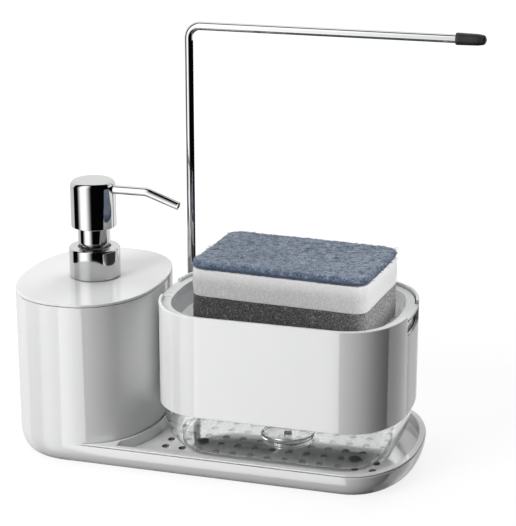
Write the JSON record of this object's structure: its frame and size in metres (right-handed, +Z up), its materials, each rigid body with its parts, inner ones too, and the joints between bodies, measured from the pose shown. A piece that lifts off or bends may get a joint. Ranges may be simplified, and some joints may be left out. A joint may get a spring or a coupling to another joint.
{
  "type": "soap pump caddy",
  "caption": "Counter caddy with a moulded soap bottle and press pump, a drain tray, a clear sponge cup in a white band, and a tall rod with a side arm for a cloth.",
  "frame": {"origin": "centre of the base, on the counter it stands on", "axes": "+X to the right, from the soap bottle to the sponge cup; +Y to the back, where the rod stands; +Z up"},
  "size_m": [0.2885, 0.1238, 0.2698],
  "materials": {
    "white_plastic": "high gloss white moulding",
    "chrome": "mirror chrome plating",
    "clear_plastic": "clear, polished",
    "black_rubber": "satin",
    "grey_rubber": "satin",
    "pump_plastic": "natural white pump plastic",
    "steel": "plain stainless steel",
    "dark_foam": "open cell polyurethane foam, charcoal grey",
    "light_foam": "open cell polyurethane foam, off-white",
    "scourer": "non-woven fibre web, blue-grey"
  },
  "bodies": {
    "base": {"caddy_body": "white_plastic", "base_pad": "grey_rubber", "holder_band": "white_plastic", "rod_bush": "pump_plastic"},
    "lid": {"lid": "white_plastic", "lid_seal": "grey_rubber"},
    "pump": {"pump_housing": "pump_plastic", "pump_gasket": "grey_rubber", "pump_neck": "chrome", "dip_tube": "pump_plastic", "valve_ball": "steel", "pump_spring": "steel"},
    "collar": {"pump_collar": "chrome", "collar_liner": "pump_plastic"},
    "plunger": {"pump_stem": "pump_plastic", "pump_piston": "pump_plastic"},
    "head": {"pump_head": "chrome", "head_core": "pump_plastic", "spout_tube": "chrome"},
    "hanger": {"hanger_rod": "chrome", "rod_ferrule": "chrome", "rod_washer": "steel", "rod_nut": "steel", "rod_cap": "black_rubber"},
    "drain_tray": {"drain_tray": "white_plastic"},
    "cup": {"cup": "clear_plastic", "cup_feet": "black_rubber"},
    "sponge_tray": {"sponge_tray": "clear_plastic"},
    "sponge": {"sponge_base": "dark_foam", "sponge_core": "light_foam", "sponge_scourer": "scourer"}
  },
  "joints": [
    {"name": "lid_lift", "type": "slide", "parent": "base", "child": "lid", "axis": [0, 0, 1], "range_m": [0, 0.1]},
    {"name": "closure_rise", "type": "slide", "parent": "lid", "child": "pump", "axis": [0, 0, 1], "range_m": [0, 0.0086]},
    {"name": "collar_turn", "type": "hinge", "parent": "pump", "child": "collar", "pos_m": [-0.086, 0, 0.1081], "axis": [0, 0, 1], "range_deg": [0, 720]},
    {"name": "pump_press", "type": "slide", "parent": "pump", "child": "plunger", "axis": [0, 0, -1], "range_m": [0, 0.012], "stiffness_N_per_m": 350, "springref_m": -0.01, "deforming": ["pump_spring"]},
    {"name": "head_turn", "type": "hinge", "parent": "plunger", "child": "head", "pos_m": [-0.086, 0, 0.1081], "axis": [0, 0, 1], "continuous": true},
    {"name": "hanger_turn", "type": "hinge", "parent": "base", "child": "hanger", "pos_m": [-0.0353, 0.045, 0.0163], "axis": [0, 0, 1], "range_deg": [-30, 110]},
    {"name": "tray_lift", "type": "slide", "parent": "base", "child": "drain_tray", "axis": [0, 0, 1], "range_m": [0, 0.01]},
    {"name": "cup_lift", "type": "slide", "parent": "drain_tray", "child": "cup", "axis": [0, 0, 1], "range_m": [0, 0.048]},
    {"name": "sponge_tray_lift", "type": "slide", "parent": "cup", "child": "sponge_tray", "axis": [0, 0, 1], "range_m": [0, 0.021]},
    {"name": "sponge_lift", "type": "slide", "parent": "sponge_tray", "child": "sponge", "axis": [0, 0, 1], "range_m": [0, 0.045]}
  ],
  "couplings": [
    {"joint": "closure_rise", "follows": "collar_turn", "m_per_rad": 0.00067323}
  ]
}
